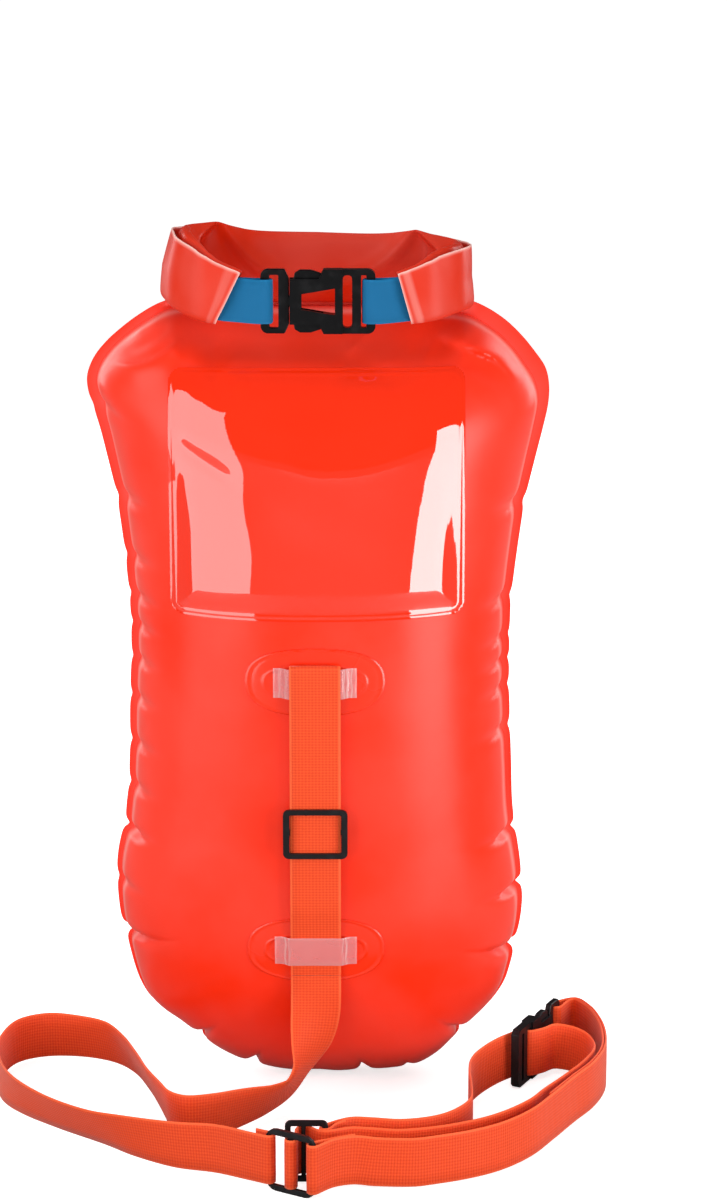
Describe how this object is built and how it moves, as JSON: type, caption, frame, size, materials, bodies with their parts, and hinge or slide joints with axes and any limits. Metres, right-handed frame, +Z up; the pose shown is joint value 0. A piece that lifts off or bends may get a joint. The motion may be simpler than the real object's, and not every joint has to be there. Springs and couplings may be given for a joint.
{
  "type": "open water swim buoy",
  "caption": "Inflated roll-top dry bag that floats behind an open water swimmer on a leash and waist belt, with a phone window and a dry compartment",
  "frame": {"origin": "middle of the bag's straight bottom edge, in the plane of its weld seam, on the floor", "axes": "+Z up along the bag, the front with the window faces -Y, +X to the right of a viewer in front"},
  "size_m": [0.4381, 0.3225, 0.6172],
  "materials": {
    "bag_sheet": "orange PVC coated sheet, half gloss",
    "window_film": "clear PVC film over the orange sheet, glossy",
    "clear_film": "clear moulded PVC, glossy",
    "orange_webbing": "ribbed polyester webbing",
    "closure_webbing": "blue woven webbing",
    "buckle_plastic": "black acetal, satin",
    "stiffener": "plain flexible plastic strip",
    "valve_rubber": "soft rubber"
  },
  "bodies": {
    "bag": {"front_sheet": "bag_sheet", "middle_sheet": "bag_sheet", "back_sheet": "bag_sheet", "phone_window": "window_film", "upper_anchor_patch": "bag_sheet", "upper_anchor_band": "clear_film", "lower_anchor_patch": "bag_sheet", "lower_anchor_band": "clear_film", "roll_top": "bag_sheet", "stiffener_strip_inner": "stiffener", "stiffener_strip_outer": "stiffener", "closure_strap_left": "closure_webbing", "closure_strap_right": "closure_webbing", "closure_buckle_female": "buckle_plastic", "leash_bag_webbing": "orange_webbing", "leash_free_webbing": "orange_webbing", "belt_ring": "buckle_plastic", "belt_fixed_webbing": "orange_webbing", "belt_adjusting_webbing": "orange_webbing", "belt_buckle_female": "buckle_plastic", "left_valve_flange": "clear_film", "left_valve_barrel": "clear_film", "right_valve_flange": "clear_film", "right_valve_barrel": "clear_film"},
    "closure_male": {"closure_buckle_male": "buckle_plastic"},
    "closure_arm_upper": {"closure_buckle_arm_upper": "buckle_plastic"},
    "closure_arm_lower": {"closure_buckle_arm_lower": "buckle_plastic"},
    "leash_slide": {"leash_slider": "buckle_plastic"},
    "belt_adjust": {"belt_adjuster": "buckle_plastic"},
    "belt_male": {"belt_buckle_male": "buckle_plastic"},
    "belt_arm_upper": {"belt_buckle_arm_upper": "buckle_plastic"},
    "belt_arm_lower": {"belt_buckle_arm_lower": "buckle_plastic"},
    "left_mouthpiece": {"left_valve_mouthpiece": "buckle_plastic"},
    "right_mouthpiece": {"right_valve_mouthpiece": "buckle_plastic"},
    "left_flap": {"left_valve_flap": "valve_rubber"},
    "right_flap": {"right_valve_flap": "valve_rubber"}
  },
  "joints": [
    {"name": "closure_release", "type": "slide", "parent": "bag", "child": "closure_male", "axis": [-1, 0, 0], "range_m": [0, 0.022], "deforming": ["closure_strap_left"]},
    {"name": "closure_pinch_upper", "type": "hinge", "parent": "closure_male", "child": "closure_arm_upper", "pos_m": [-0.018, -0.0625, 0.5815], "axis": [0, 1, 0], "range_deg": [0, 10]},
    {"name": "closure_pinch_lower", "type": "hinge", "parent": "closure_male", "child": "closure_arm_lower", "pos_m": [-0.018, -0.0625, 0.5655], "axis": [0, -1, 0], "range_deg": [0, 10]},
    {"name": "leash_slider_slide", "type": "slide", "parent": "bag", "child": "leash_slide", "axis": [0, 0, 1], "range_m": [-0.04, 0.068], "deforming": ["leash_bag_webbing"]},
    {"name": "belt_adjuster_slide", "type": "slide", "parent": "bag", "child": "belt_adjust", "axis": [1, 0, 0], "range_m": [0, 0.025], "deforming": ["belt_adjusting_webbing"]},
    {"name": "belt_release", "type": "slide", "parent": "bag", "child": "belt_male", "axis": [0.4392, 0.8984, 0], "range_m": [0, 0.022], "deforming": ["belt_fixed_webbing"]},
    {"name": "belt_pinch_upper", "type": "hinge", "parent": "belt_male", "child": "belt_arm_upper", "pos_m": [0.16534, 0.00884, 0.0302], "axis": [0.8984, -0.4392, 0], "range_deg": [0, 10]},
    {"name": "belt_pinch_lower", "type": "hinge", "parent": "belt_male", "child": "belt_arm_lower", "pos_m": [0.16534, 0.00884, 0.0142], "axis": [-0.8984, 0.4392, 0], "range_deg": [0, 10]},
    {"name": "left_mouthpiece_twist", "type": "hinge", "parent": "bag", "child": "left_mouthpiece", "pos_m": [-0.062, 0.05652, 0.38], "axis": [-0.2066, 0.9784, -0.0059], "range_deg": [0, 90]},
    {"name": "right_mouthpiece_twist", "type": "hinge", "parent": "bag", "child": "right_mouthpiece", "pos_m": [0.062, 0.05651, 0.38], "axis": [0.2058, 0.9786, -0.0059], "range_deg": [0, 90]},
    {"name": "left_flap_swing", "type": "hinge", "parent": "bag", "child": "left_flap", "pos_m": [-0.06062, 0.05, 0.38604], "axis": [-0.9784, -0.2066, 0], "range_deg": [0, 60], "stiffness_Nm_per_rad": 0.0005},
    {"name": "right_flap_swing", "type": "hinge", "parent": "bag", "child": "right_flap", "pos_m": [0.06063, 0.04999, 0.38604], "axis": [-0.9786, 0.2058, 0], "range_deg": [0, 60], "stiffness_Nm_per_rad": 0.0005}
  ],
  "couplings": [
    {"joint": "closure_pinch_upper", "follows": "closure_release", "rad_per_m": 7.93},
    {"joint": "closure_pinch_lower", "follows": "closure_release", "rad_per_m": 7.93},
    {"joint": "belt_pinch_upper", "follows": "belt_release", "rad_per_m": 7.93},
    {"joint": "belt_pinch_lower", "follows": "belt_release", "rad_per_m": 7.93}
  ]
}
